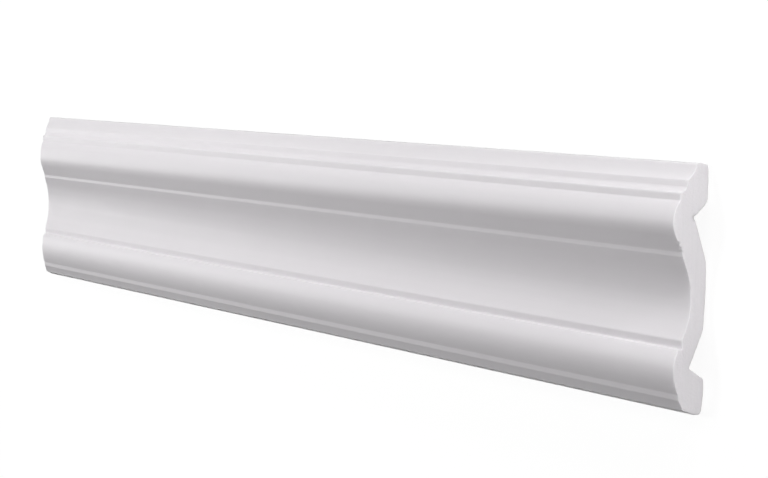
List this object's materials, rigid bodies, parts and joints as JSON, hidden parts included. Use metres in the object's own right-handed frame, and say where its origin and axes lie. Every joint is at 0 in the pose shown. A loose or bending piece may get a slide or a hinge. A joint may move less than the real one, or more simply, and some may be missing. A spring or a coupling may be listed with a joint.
{
  "type": "decorative wall moulding",
  "caption": "Straight length of moulded foam wall trim: stepped top, roll, wide cove and lower roll, channelled back, one square end and one mitred end.",
  "frame": {"origin": "middle of the back: centre of the bounding box's bottom face, in the plane of the wall", "axes": "+X along the length to the square end, +Y to the edge that is uppermost on the wall, +Z out of the wall to the moulded face; the mitred end is at -X"},
  "size_m": [0.6, 0.1, 0.0184],
  "materials": {
    "white_foam": "matt white extruded foam with a smooth skin on the face and finely celled sawn ends"
  },
  "bodies": {
    "root": {"wall_moulding": "white_foam"}
  },
  "joints": []
}
